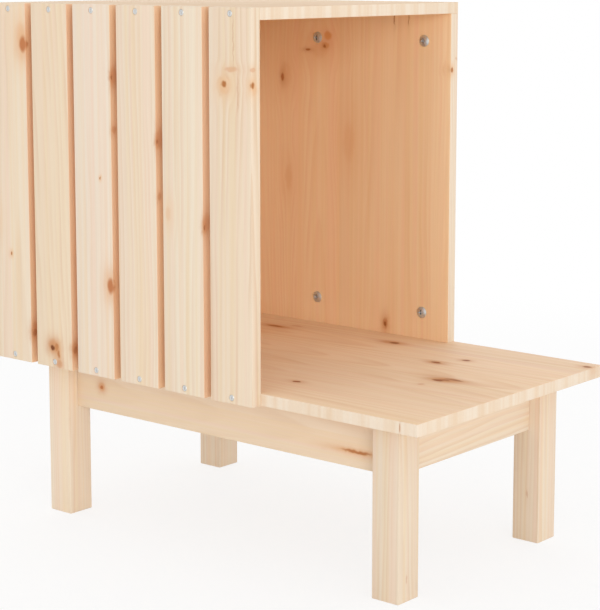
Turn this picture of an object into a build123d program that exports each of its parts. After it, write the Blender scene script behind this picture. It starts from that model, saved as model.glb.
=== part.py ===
from build123d import *
import os

# Cat house of solid pine on a low bench. Sizes are in millimetres, +Z is up.
# +X runs along the bench towards the open end of the den and its terrace.
# The slatted long side faces -Y and the closed long side faces +Y.
# The origin is under the middle of the whole object, on the floor.

# Slats
slat_count = 6
slat_width = 58.5
slat_gap = 9.5
slat_thickness = 13.5

# Boards and walls
terrace_length = 201.5
board_depth = 348.0
board_thickness = 13.0
wall_thickness = 13.5
wall_height = 387.0

# Bench frame
leg_length = 187.0
leg_section = 34.0
leg_inset_from_ends = 41.5
leg_inset_from_sides = 27.0
apron_height = 58.5
apron_thickness = 13.5
apron_recess = 14.0
block_height = 25.0
block_reach = 46.0
block_leg_gap = 1.0

# Battens across the outside of the closed long wall
batten_width = 58.5
batten_thickness = 13.5
batten_end_gap = 14.0
batten_edge_gap = 3.0
batten_screw_columns = 3
batten_screw_end_distance = 24.0

# Eased edges
board_easing = 0.8
slat_easing = 1.0
frame_easing = 1.5
block_easing = 0.8

# Slat screws, countersunk
slat_screw_diameter = 3.5
slat_screw_head_diameter = 6.6
slat_screw_length = 30.0

# Batten screws, wide domed heads
batten_screw_diameter = 5.0
batten_screw_head_diameter = 13.5
batten_screw_head_height = 2.8
batten_screw_head_rim = 0.8
batten_screw_recess_size = 11.0
batten_screw_length = 24.0

# Corner block screws, countersunk, driven upwards
block_screw_diameter = 4.0
block_screw_head_diameter = 7.6
block_screw_length = 34.0

# Details that all the screws share
head_rim_height = 0.4
head_sink = 0.15
recess_arm_share = 0.62
recess_width_share = 0.17
recess_depth_share = 0.26
recess_taper = 12.0
recess_lead_in = 0.6

# Dowels
apron_dowel_diameter = 8.0
apron_dowel_depth = 15.0
apron_dowel_edge = 11.0
apron_dowel_step = 12.0
wall_dowel_diameter = 6.0
wall_dowel_depth_in_board = 9.0
wall_dowel_depth_in_wall = 15.0
wall_dowel_end_distance = 45.0
back_wall_dowel_count = 3
end_wall_dowel_count = 2
dowel_chamfer = 0.8

# Clearances
hole_clearance = 0.1
bore_end_gap = 0.3

# Sizes that follow from the values above
slat_pitch = slat_width + slat_gap
den_length = slat_count * slat_width + (slat_count - 1) * slat_gap
bench_length = den_length + terrace_length
overall_depth = slat_thickness + board_depth + batten_thickness
bench_top = leg_length + board_thickness
wall_top = bench_top + wall_height
house_top = wall_top + board_thickness
den_end = -bench_length / 2
terrace_end = bench_length / 2
opening_end = den_end + den_length
slat_face = -overall_depth / 2
board_front = slat_face + slat_thickness
board_back = board_front + board_depth
wall_inner_face = board_back - wall_thickness
leg_positions = {
    "den_slatted": (den_end + leg_inset_from_ends, board_front + leg_inset_from_sides),
    "den_walled": (den_end + leg_inset_from_ends, board_back - leg_inset_from_sides - leg_section),
    "terrace_slatted": (
        terrace_end - leg_inset_from_ends - leg_section,
        board_front + leg_inset_from_sides,
    ),
    "terrace_walled": (
        terrace_end - leg_inset_from_ends - leg_section,
        board_back - leg_inset_from_sides - leg_section,
    ),
}
frame_den_face = leg_positions["den_slatted"][0]
frame_terrace_face = leg_positions["terrace_slatted"][0] + leg_section
frame_slatted_face = leg_positions["den_slatted"][1]
frame_walled_face = leg_positions["den_walled"][1] + leg_section
apron_bottom = leg_length - apron_height
lower_batten_centre = bench_top + batten_edge_gap + batten_width / 2
upper_batten_centre = wall_top - batten_edge_gap - batten_width / 2

pieces = {}


def eased_block(low, high, easing):
    """A block between two corners, with all its edges rounded."""
    size = [far - near for near, far in zip(low, high)]
    middle = [(near + far) / 2 for near, far in zip(low, high)]
    block = Box(*size)
    return Pos(*middle) * fillet(block.edges(), easing)


def evenly_spaced(first, last, count):
    """Places from first to last, with the same step between them."""
    step = (last - first) / (count - 1)
    return [first + index * step for index in range(count)]


def turned(outline):
    """A solid of revolution about Z from an outline in the XZ plane."""
    face = make_face(Plane.XZ * Polyline(*outline, close=True))
    return revolve(face, axis=Axis.Z)


def cross_recess(size, top):
    """The tapered cross that is cut into a screw head, from a height down."""
    arm = size * recess_arm_share
    width = size * recess_width_share
    cross = Rectangle(arm, width) + Rectangle(width, arm)
    depth = size * recess_depth_share
    return Pos(0, 0, top) * extrude(cross, amount=-depth, taper=recess_taper)


def countersunk_outline(diameter, head_diameter, length, clearance):
    """Half the section of a countersunk screw that points down from Z = 0."""
    shank = diameter / 2 + clearance
    head = head_diameter / 2
    cone_end = head_rim_height + head - shank
    return [(0, 0), (head, 0), (head, -head_rim_height), (shank, -cone_end), (shank, -length)]


def countersunk_screw(diameter, head_diameter, length):
    """A countersunk screw with a pointed end and a cross recess."""
    outline = countersunk_outline(diameter, head_diameter, length - diameter, 0)
    screw = turned(outline + [(0, -length)])
    return screw - cross_recess(head_diameter, 0)


def countersunk_hole(diameter, head_diameter, length):
    """The seat and bore for a countersunk screw, open above its head."""
    outline = countersunk_outline(diameter, head_diameter, length + bore_end_gap, hole_clearance)
    hole = turned(outline + [(0, -length - bore_end_gap)])
    mouth = Pos(0, 0, head_sink) * Cylinder(head_diameter / 2, 2 * head_sink)
    return hole + mouth


def domed_screw(diameter, head_diameter, length):
    """A screw with a wide domed head, whose underside is at Z = 0."""
    head = head_diameter / 2
    shank = diameter / 2
    rise = batten_screw_head_height - batten_screw_head_rim
    dome_radius = (head**2 + rise**2) / (2 * rise)
    half_way = head / 2
    half_way_height = batten_screw_head_height - dome_radius + (dome_radius**2 - half_way**2) ** 0.5
    dome = ThreePointArc(
        (head, batten_screw_head_rim),
        (half_way, half_way_height),
        (0, batten_screw_head_height),
    )
    sides = Polyline(
        (0, batten_screw_head_height),
        (0, -length),
        (shank, diameter - length),
        (shank, 0),
        (head, 0),
        (head, batten_screw_head_rim),
    )
    screw = revolve(make_face(Plane.XZ * (sides + dome)), axis=Axis.Z)
    return screw - cross_recess(batten_screw_recess_size, batten_screw_head_height + recess_lead_in)


def bore(diameter, top, bottom):
    """A round hole about Z, wider than what it takes by the clearance."""
    radius = diameter / 2 + hole_clearance
    return Pos(0, 0, (top + bottom) / 2) * Cylinder(radius, top - bottom)


def dowel(diameter, above, below):
    """A dowel about Z that crosses the joint plane at Z = 0."""
    rod = Cylinder(diameter / 2, above + below)
    rod = chamfer(rod.edges().filter_by(GeomType.CIRCLE), dowel_chamfer)
    return Pos(0, 0, (above - below) / 2) * rod


def dowel_bore(diameter, above, below):
    """The hole for a dowel, through both pieces of the joint."""
    return bore(diameter, above + bore_end_gap, -below - bore_end_gap)


def cut(name, tools):
    """Cuts the tools out of a named piece."""
    for tool in tools:
        pieces[name] = pieces[name] - tool


# Boards: the bench board is the floor of the den and runs on as the terrace

def make_boards():
    pieces["bench_board"] = eased_block(
        (den_end, board_front, leg_length), (terrace_end, board_back, bench_top), board_easing
    )
    pieces["top_board"] = eased_block(
        (den_end, board_front, wall_top), (opening_end, board_back, house_top), board_easing
    )


# Walls: the closed long wall and the closed end wall stand between the boards

def make_walls():
    pieces["back_wall"] = eased_block(
        (den_end, wall_inner_face, bench_top), (opening_end, board_back, wall_top), board_easing
    )
    pieces["end_wall"] = eased_block(
        (den_end, board_front, bench_top),
        (den_end + wall_thickness, wall_inner_face, wall_top),
        board_easing,
    )


def add_wall_dowels(node, wall, places):
    """Dowels from a wall up into the top board and down into the bench board."""
    up = wall_dowel_depth_in_board
    down = wall_dowel_depth_in_wall
    joints = {"top_board": (wall_top, up, down), "bench_board": (bench_top, down, up)}
    dowels = []
    for board, (joint_height, above, below) in joints.items():
        spots = [Pos(x, y, joint_height) for x, y in places]
        bores = [spot * dowel_bore(wall_dowel_diameter, above, below) for spot in spots]
        cut(board, bores)
        cut(wall, bores)
        dowels += [spot * dowel(wall_dowel_diameter, above, below) for spot in spots]
    pieces[node] = Compound(children=dowels)


def add_back_wall_dowels():
    middle = board_back - wall_thickness / 2
    first = den_end + wall_dowel_end_distance
    last = opening_end - wall_dowel_end_distance
    places = [(x, middle) for x in evenly_spaced(first, last, back_wall_dowel_count)]
    add_wall_dowels("back_wall_dowels", "back_wall", places)


def add_end_wall_dowels():
    middle = den_end + wall_thickness / 2
    first = board_front + wall_dowel_end_distance
    last = wall_inner_face - wall_dowel_end_distance
    places = [(middle, y) for y in evenly_spaced(first, last, end_wall_dowel_count)]
    add_wall_dowels("end_wall_dowels", "end_wall", places)


# Slats: an even row that covers the near edges of both boards

def slat_middle(index):
    return den_end + slat_width / 2 + index * slat_pitch


def make_slats():
    for index in range(slat_count):
        left = slat_middle(index) - slat_width / 2
        pieces[f"slat_{index + 1}"] = eased_block(
            (left, slat_face, leg_length), (left + slat_width, board_front, house_top), slat_easing
        )


def add_slat_screws(node, board, height):
    """One screw through each slat into the middle of a board's near edge."""
    size = (slat_screw_diameter, slat_screw_head_diameter, slat_screw_length)
    screws = []
    for index in range(slat_count):
        spot = Location((slat_middle(index), slat_face + head_sink, height), (90, 0, 0))
        hole = spot * countersunk_hole(*size)
        cut(f"slat_{index + 1}", [hole])
        cut(board, [hole])
        screws.append(spot * countersunk_screw(*size))
    pieces[node] = Compound(children=screws)


# Battens: they keep the closed long wall flat and are held from inside the den

def make_battens():
    for name, centre in (("lower", lower_batten_centre), ("upper", upper_batten_centre)):
        pieces[f"batten_{name}"] = eased_block(
            (den_end + batten_end_gap, board_back, centre - batten_width / 2),
            (opening_end - batten_end_gap, board_back + batten_thickness, centre + batten_width / 2),
            slat_easing,
        )


def add_batten_screws():
    edge = batten_end_gap + batten_screw_end_distance
    columns = evenly_spaced(den_end + edge, opening_end - edge, batten_screw_columns)
    screws = []
    for name, height in (("lower", lower_batten_centre), ("upper", upper_batten_centre)):
        for x in columns:
            spot = Location((x, wall_inner_face, height), (90, 0, 0))
            hole = spot * bore(batten_screw_diameter, 0, -batten_screw_length - bore_end_gap)
            cut("back_wall", [hole])
            cut(f"batten_{name}", [hole])
            screws.append(
                spot * domed_screw(
                    batten_screw_diameter, batten_screw_head_diameter, batten_screw_length
                )
            )
    pieces["batten_screws"] = Compound(children=screws)


# Bench frame: four square legs with an apron between each pair

def make_legs():
    for name, (x, y) in leg_positions.items():
        pieces[f"leg_{name}"] = eased_block(
            (x, y, 0), (x + leg_section, y + leg_section, leg_length), frame_easing
        )


def make_aprons():
    """Aprons stand back from the outer faces of the legs by the recess."""
    long_start = frame_den_face + leg_section
    long_end = frame_terrace_face - leg_section
    short_start = frame_slatted_face + leg_section
    short_end = frame_walled_face - leg_section
    slatted = frame_slatted_face + apron_recess
    walled = frame_walled_face - apron_recess
    den = frame_den_face + apron_recess
    terrace = frame_terrace_face - apron_recess
    spans = {
        "slatted_side": (long_start, slatted, long_end, slatted + apron_thickness),
        "walled_side": (long_start, walled - apron_thickness, long_end, walled),
        "den_end": (den, short_start, den + apron_thickness, short_end),
        "terrace_end": (terrace - apron_thickness, short_start, terrace, short_end),
    }
    for name, (x0, y0, x1, y1) in spans.items():
        pieces[f"apron_{name}"] = eased_block(
            (x0, y0, apron_bottom), (x1, y1, leg_length), frame_easing
        )


def add_apron_dowels():
    """Two dowels at each apron end, at other heights on the long and short aprons."""
    middle = apron_recess + apron_thickness / 2
    lowest = apron_bottom + apron_dowel_edge
    long_heights = [lowest, lowest + 2 * apron_dowel_step]
    short_heights = [lowest + apron_dowel_step, lowest + 3 * apron_dowel_step]
    depth = apron_dowel_depth
    rod = dowel(apron_dowel_diameter, depth, depth)
    hole = dowel_bore(apron_dowel_diameter, depth, depth)
    joints = []
    for side, y in (("slatted", frame_slatted_face + middle), ("walled", frame_walled_face - middle)):
        for end, x in (
            ("den", frame_den_face + leg_section),
            ("terrace", frame_terrace_face - leg_section),
        ):
            for z in long_heights:
                joints.append((f"apron_{side}_side", f"leg_{end}_{side}", (x, y, z), (0, 90, 0)))
    for end, x in (("den", frame_den_face + middle), ("terrace", frame_terrace_face - middle)):
        for side, y in (
            ("slatted", frame_slatted_face + leg_section),
            ("walled", frame_walled_face - leg_section),
        ):
            for z in short_heights:
                joints.append((f"apron_{end}_end", f"leg_{end}_{side}", (x, y, z), (90, 0, 0)))
    dowels = []
    for apron, leg, place, turn in joints:
        spot = Location(place, turn)
        cut(apron, [spot * hole])
        cut(leg, [spot * hole])
        dowels.append(spot * rod)
    pieces["apron_dowels"] = Compound(children=dowels)


# Corner blocks: glued across each inner corner and screwed up into the bench board

def add_corner_blocks():
    apron_inner = apron_recess + apron_thickness
    corner = 2 * (leg_section - apron_inner) + 2 * block_leg_gap
    outline = Polyline(
        (corner, 0), (block_reach, 0), (0, block_reach), (0, corner), close=True
    )
    block = extrude(make_face(outline), amount=block_height)
    block = fillet(block.edges().filter_by(Axis.Z), block_easing)
    screw_reach = (corner + block_reach) / 4
    size = (block_screw_diameter, block_screw_head_diameter, block_screw_length)
    screws = []
    for name in leg_positions:
        towards_x = 1 if name.startswith("den") else -1
        towards_y = 1 if name.endswith("slatted") else -1
        x = frame_den_face + apron_inner if towards_x > 0 else frame_terrace_face - apron_inner
        y = frame_slatted_face + apron_inner if towards_y > 0 else frame_walled_face - apron_inner
        turn = {(1, 1): 0, (-1, 1): 90, (-1, -1): 180, (1, -1): 270}[(towards_x, towards_y)]
        base = leg_length - block_height
        pieces[f"corner_block_{name}"] = Location((x, y, base), (0, 0, turn)) * block
        screw_x = x + towards_x * screw_reach
        screw_y = y + towards_y * screw_reach
        spot = Location((screw_x, screw_y, base + head_sink), (180, 0, 0))
        hole = spot * countersunk_hole(*size)
        cut(f"corner_block_{name}", [hole])
        cut("bench_board", [hole])
        screws.append(spot * countersunk_screw(*size))
    pieces["corner_block_screws"] = Compound(children=screws)


make_boards()
make_walls()
make_slats()
make_battens()
make_legs()
make_aprons()
add_back_wall_dowels()
add_end_wall_dowels()
add_slat_screws("slat_screws_bottom", "bench_board", leg_length + board_thickness / 2)
add_slat_screws("slat_screws_top", "top_board", wall_top + board_thickness / 2)
add_batten_screws()
add_apron_dowels()
add_corner_blocks()

os.makedirs("parts", exist_ok=True)
for piece_name, piece in pieces.items():
    export_step(piece, f"parts/{piece_name}.step")
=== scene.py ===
"""Dresses the cat house: sanded pine boards and slats, held by zinc-plated screws."""
from __future__ import annotations

import logging
import math
from collections.abc import Callable, Sequence
from dataclasses import dataclass, field, replace
from enum import Enum

import bpy
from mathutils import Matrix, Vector


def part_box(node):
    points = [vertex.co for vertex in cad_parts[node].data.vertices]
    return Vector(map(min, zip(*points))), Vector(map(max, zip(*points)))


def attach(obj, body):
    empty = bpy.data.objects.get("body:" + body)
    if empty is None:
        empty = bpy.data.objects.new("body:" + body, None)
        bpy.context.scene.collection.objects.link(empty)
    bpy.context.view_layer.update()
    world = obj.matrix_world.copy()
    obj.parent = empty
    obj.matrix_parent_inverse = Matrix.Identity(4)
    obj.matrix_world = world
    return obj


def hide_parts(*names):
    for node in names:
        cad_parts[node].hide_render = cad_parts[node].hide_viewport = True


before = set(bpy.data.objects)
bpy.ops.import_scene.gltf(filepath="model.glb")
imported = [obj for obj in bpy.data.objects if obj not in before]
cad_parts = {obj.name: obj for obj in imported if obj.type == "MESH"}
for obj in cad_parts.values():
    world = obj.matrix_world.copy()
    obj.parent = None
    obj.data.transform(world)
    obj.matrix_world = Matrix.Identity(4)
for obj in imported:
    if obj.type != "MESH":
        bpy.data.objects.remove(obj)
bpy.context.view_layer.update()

LOG = logging.getLogger("cat_house")
MM = 0.001

Object = bpy.types.Object
Material = bpy.types.Material
Socket = bpy.types.NodeSocket
Tree = bpy.types.NodeTree
Point = tuple[float, float, float]
Point2 = tuple[float, float]

NUMBER = "ShaderNodeMath"
VECTOR = "ShaderNodeVectorMath"
MIX_COLOURS = {"out": 2, "data_type": "RGBA"}
SMOOTH = {"interpolation_type": "SMOOTHSTEP"}
WHITE = "#ffffff"
WOOD_IOR = 1.5
FACING = 0.7


class Axis(Enum):
    """The three axes of the frame, by their place in a vector."""

    X = 0
    Y = 1
    Z = 2


# Colour and nodes


def linear(code: str) -> tuple[float, float, float, float]:
    """Turn an sRGB hex colour into linear light.

    Args:
        code: The colour, such as "#f1dcc3".

    Returns:
        Red, green, blue and an alpha of 1.
    """
    channels = [int(code[start:start + 2], 16) / 255 for start in (1, 3, 5)]
    light = [c / 12.92 if c <= 0.04045 else ((c + 0.055) / 1.055) ** 2.4 for c in channels]
    return light[0], light[1], light[2], 1.0


def add_node(
    tree: Tree, kind: str, links: dict | None = None, out: int = 0, **settings
) -> Socket:
    """Add a node with its settings and its links.

    Args:
        tree: The node tree that takes the node.
        kind: The node's type name.
        links: What goes into each input, by the input's name or place: a socket or a value.
        out: The place of the output that is wanted.
        settings: The node's own properties.

    Returns:
        The wanted output socket.
    """
    node = tree.nodes.new(kind)
    for name, value in settings.items():
        setattr(node, name, value)
    for key, value in (links or {}).items():
        if isinstance(value, Socket):
            tree.links.new(value, node.inputs[key])
        else:
            node.inputs[key].default_value = value
    return node.outputs[out] if node.outputs else None


def compute(tree: Tree, value: Socket, *steps: tuple, kind: str = NUMBER) -> Socket:
    """Run a value through steps of arithmetic.

    Args:
        tree: The node tree that takes the nodes.
        value: The first value.
        steps: Each step's operation, and what else goes into it, if anything does.
        kind: Whether the steps are on numbers or on vectors.

    Returns:
        The result of the last step.
    """
    for operation, *others in steps:
        value = add_node(tree, kind, dict(enumerate((value, *others))), operation=operation)
    return value


def in_millimetres(tree: Tree) -> Socket:
    """Give each point's place on the object, in millimetres."""
    metres = add_node(tree, "ShaderNodeTexCoord", out=3)
    return add_node(tree, VECTOR, {0: metres, "Scale": 1 / MM}, operation="SCALE")


def show_surface(tree: Tree, inputs: dict) -> None:
    """Make the inputs of a plain surface what the material shows."""
    shader = add_node(tree, "ShaderNodeBsdfPrincipled", inputs)
    add_node(tree, "ShaderNodeOutputMaterial", {"Surface": shader})


def empty_material(name: str) -> Material:
    """Make a material with an empty node tree.

    Args:
        name: Its name.

    Returns:
        The material.
    """
    material = bpy.data.materials.new(name)
    material.use_nodes = True
    material.node_tree.nodes.clear()
    return material


# Mesh work


def activate(piece: Object) -> None:
    """Select one object alone and make it the active one.

    Args:
        piece: The object.
    """
    bpy.ops.object.select_all(action="DESELECT")
    piece.select_set(True)
    bpy.context.view_layer.objects.active = piece


def add_block(name: str, low: Vector, high: Vector) -> Object:
    """Add a block that fills the space between two corners.

    Args:
        name: The name of the new object.
        low: The lowest corner, in metres.
        high: The highest corner.

    Returns:
        The block, with its place in its mesh.
    """
    bpy.ops.object.select_all(action="DESELECT")
    bpy.ops.mesh.primitive_cube_add(size=1.0, location=(low + high) / 2, scale=high - low)
    block = bpy.context.active_object
    block.name = name
    bpy.ops.object.transform_apply(location=True, rotation=True, scale=True)
    return block


def round_edges(
    piece: Object, width: float, segments: int, wanted: Callable[[Vector, Vector], bool] | None = None
) -> None:
    """Round the edges of a piece.

    Args:
        piece: The piece.
        width: How far the rounding reaches from the edge, in metres.
        segments: The number of faces across it.
        wanted: Tells from an edge's two ends whether it is rounded; all edges are if it is None.
    """
    activate(piece)
    bpy.ops.object.mode_set(mode="EDIT")
    bpy.ops.mesh.select_mode(type="EDGE")
    bpy.ops.mesh.select_all(action="DESELECT")
    bpy.ops.object.mode_set(mode="OBJECT")
    points = piece.data.vertices
    for edge in piece.data.edges:
        ends = [points[index].co for index in edge.vertices]
        edge.select = wanted is None or wanted(*ends)
    bpy.ops.object.mode_set(mode="EDIT")
    bpy.ops.mesh.bevel(offset=width, segments=segments, affect="EDGES")
    bpy.ops.object.mode_set(mode="OBJECT")


def smooth_faces(piece: Object, degrees: float = 35.0) -> None:
    """Shade a piece smooth, but sharp where faces meet at more than an angle."""
    activate(piece)
    bpy.ops.object.shade_smooth_by_angle(angle=math.radians(degrees))


def combine(piece: Object, other: Object, operation: str) -> None:
    """Join another object to a piece or cut it out of it, and remove that object.

    Args:
        piece: The piece.
        other: The object to join or to cut out.
        operation: "UNION" or "DIFFERENCE".
    """
    modifier = piece.modifiers.new("combine", "BOOLEAN")
    modifier.operation = operation
    modifier.solver = "EXACT"
    modifier.object = other
    activate(piece)
    bpy.ops.object.modifier_apply(modifier=modifier.name)
    bpy.data.objects.remove(other)


def add_turned(name: str, outline: Sequence[Point2], segments: int) -> Object:
    """Turn a round piece about Z from its outline.

    Args:
        name: The name of the new object.
        outline: Radius and height of each step, from one end to the other, in metres.
        segments: The number of sides.

    Returns:
        The piece, closed at both ends.
    """
    bpy.ops.object.select_all(action="DESELECT")
    radius, height = outline[0]
    bpy.ops.mesh.primitive_circle_add(
        vertices=segments, radius=radius, fill_type="NGON", location=(0, 0, height)
    )
    piece = bpy.context.active_object
    piece.name = name
    bpy.ops.object.transform_apply(location=True)
    bpy.ops.object.mode_set(mode="EDIT")
    bpy.ops.mesh.select_all(action="SELECT")
    for next_radius, next_height in outline[1:]:
        bpy.ops.mesh.extrude_region_move(
            TRANSFORM_OT_translate={"value": (0, 0, next_height - height)}
        )
        share = next_radius / radius
        bpy.ops.transform.resize(value=(share, share, 1), center_override=(0, 0, next_height))
        radius, height = next_radius, next_height
    bpy.ops.mesh.select_all(action="SELECT")
    bpy.ops.mesh.normals_make_consistent(inside=False)
    bpy.ops.object.mode_set(mode="OBJECT")
    return piece


def put(piece: Object, place: Vector, turn: Point) -> Object:
    """Turn and move an object that is about the origin, and put its place into its mesh.

    Args:
        piece: The object.
        place: Where its origin goes, in metres.
        turn: Its turn about X, Y and Z, in degrees.

    Returns:
        The object.
    """
    activate(piece)
    piece.location = place
    piece.rotation_euler = [math.radians(angle) for angle in turn]
    bpy.ops.object.transform_apply(location=True, rotation=True, scale=True)
    return piece


def hand_over(piece: Object, node: str, material: Material) -> None:
    """Dress a finished piece and put it in the place of its node.

    Args:
        piece: The finished piece.
        node: The node that it stands for.
        material: Its finish.
    """
    if not piece.data.materials:
        piece.data.materials.append(material)
    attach(piece, "root")
    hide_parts(node)
    LOG.info("%s: %d faces, in place of %s", piece.name, len(piece.data.polygons), node)


# Wood


@dataclass(frozen=True)
class MarkLook:
    """How one kind of mark in the wood looks.

    heart and halo are colours, heart_share and halo_share how much of them shows, halo_reach
    the halo's reach in heart radii, and push how far the rings bend round the mark. The heart
    is whole up to heart_edge and gone at heart_end, both in radii.
    """

    heart: str
    halo: str
    heart_share: float
    halo_share: float
    halo_reach: float
    push: float
    heart_edge: float = 0.45
    heart_end: float = 1.05


class Kind(Enum):
    """The kinds of mark that these boards have."""

    DARK_KNOT = MarkLook("#74380f", "#cc8c58", 0.92, 0.75, 2.0, 0.85)
    BROWN_KNOT = MarkLook("#9a5829", "#d69c6a", 0.90, 0.60, 1.9, 0.85)
    RED_KNOT = MarkLook("#ba6c38", "#dfa878", 0.85, 0.75, 1.8, 0.85)
    AMBER_KNOT = MarkLook("#b06a30", "#e6b482", 0.90, 0.70, 1.9, 0.80)
    BURL = MarkLook("#e6a972", "#eeb684", 0.25, 0.35, 2.0, 0.90)
    PATCH = MarkLook("#e89c5a", "#f0b080", 0.75, 0.40, 1.5, 0.30)
    SWIRL = MarkLook("#e4b48a", "#edc8a2", 0.35, 0.45, 2.2, 0.90)
    STAIN = MarkLook("#c98355", "#cf9467", 0.40, 0.55, 1.3, 0.0)
    RESIN = MarkLook("#b0682f", "#d9a06c", 0.80, 0.60, 1.7, 0.0)
    SMUDGE = MarkLook("#d99f74", "#e6bf9a", 0.50, 0.35, 1.8, 0.3)
    LINE = MarkLook("#d0a07a", "#e0bc96", 0.45, 0.15, 1.8, 0.0)
    CRACK = MarkLook("#b0683a", "#d8ac80", 0.75, 0.30, 2.0, 0.0)


@dataclass(frozen=True)
class Mark:
    """A knot or streak: its kind, place and radii, in millimetres of the frame."""

    kind: Kind
    place: Point
    radii: Point

    def measure(self, tree: Tree, place: Socket) -> tuple[Socket, Socket]:
        """Measure how far each point is from the mark.

        Args:
            tree: The node tree that takes the nodes.
            place: Each point's place, in millimetres.

        Returns:
            The distance in the mark's radii, and a halo that fades from 1 to 0 around it.
        """
        shaped = compute(tree, place, ("SUBTRACT", self.place), ("DIVIDE", self.radii), kind=VECTOR)
        distance = add_node(tree, VECTOR, {0: shaped}, out=1, operation="LENGTH")
        reach = self.kind.value.halo_reach
        halo = compute(
            tree, distance, ("MULTIPLY", 1 / reach), ("POWER", 2.0), ("MULTIPLY", -1.0), ("EXPONENT",)
        )
        return distance, halo

    def paint(
        self, tree: Tree, wood: Socket, distance: Socket, halo: Socket
    ) -> Socket:
        """Lay the mark's halo and heart over the wood's colour.

        Args:
            tree: The node tree that takes the nodes.
            wood: The colour under the mark.
            distance: How far each point is from the mark, in its radii.
            halo: The mark's halo.

        Returns:
            The colour with the mark.
        """
        look = self.kind.value
        halo_share = compute(tree, halo, ("MULTIPLY", look.halo_share))
        heart_share = add_node(
            tree,
            "ShaderNodeMapRange",
            {0: distance, 1: look.heart_edge, 2: look.heart_end, 3: look.heart_share, 4: 0.0},
            **SMOOTH,
        )
        for share, tint in ((halo_share, look.halo), (heart_share, look.heart)):
            wood = add_node(
                tree, "ShaderNodeMix", {0: share, 6: wood, 7: linear(tint)}, **MIX_COLOURS
            )
        return wood


def marks_on(face: Axis, at: float, *rows: tuple) -> tuple[Mark, ...]:
    """Make the marks on one face of a piece.

    Args:
        face: The axis that the face looks along.
        at: Where it is on that axis, in millimetres.
        rows: For each mark its kind, its place on the other two axes, its radii along them
            and its radius into the wood.

    Returns:
        The marks, in the order of the rows.
    """
    marks = []
    for kind, *sizes, into in rows:
        place, radii = sizes[:2], sizes[2:]
        place.insert(face.value, at)
        radii.insert(face.value, into)
        marks.append(Mark(kind, tuple(place), tuple(radii)))
    return tuple(marks)


@dataclass(frozen=True)
class Grain:
    """How a piece was sawn from the tree, in millimetres.

    along is the axis of the fibres, through the axis across the piece's thickness and across
    the third one. A glued board has staves of stave_width, each from another log. The pith
    lay pith_side beside the piece and pith_depth behind it: beside gives straight lines,
    behind gives arches. Pine's rings are 2 to 4 mm apart, and they are drawn up to twice as
    wide, so that they show at the render's size.
    """

    along: Axis
    through: Axis
    stave_width: float = 1000.0
    pith_side: float = 0.0
    pith_depth: float = 42.0
    ring_spacing: float = 4.2
    lean: float = 0.05
    seed: float = 0.0

    @property
    def across(self) -> Axis:
        """The axis over the width of the piece."""
        return next(axis for axis in Axis if axis not in (self.along, self.through))


@dataclass(frozen=True)
class Pattern:
    """A noise with patches of a width and a length along the fibres, in millimetres.

    detail is how fine it gets, and swing how far apart its extremes are as a drift.
    """

    width: float
    length: float
    detail: float = 1.0
    swing: float = 1.0

    def draw(self, tree: Tree, place: Socket, grain: Grain) -> Socket:
        """Add the noise.

        Args:
            tree: The node tree that takes the nodes.
            place: Each point's place, in millimetres.
            grain: How the piece was sawn.

        Returns:
            The noise, from 0 to 1.
        """
        steps = tuple(1 / (self.length if axis is grain.along else self.width) for axis in Axis)
        return add_node(
            tree,
            "ShaderNodeTexNoise",
            {
                "Vector": compute(tree, place, ("MULTIPLY", steps), kind=VECTOR),
                "W": grain.seed,
                "Scale": 1.0,
                "Detail": self.detail,
            },
            noise_dimensions="4D",
        )

    def drift(self, tree: Tree, place: Socket, grain: Grain) -> Socket:
        """Add the noise about zero, as wide as its swing."""
        noise = self.draw(tree, place, grain)
        return compute(tree, noise, ("SUBTRACT", 0.5), ("MULTIPLY", self.swing))


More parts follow.
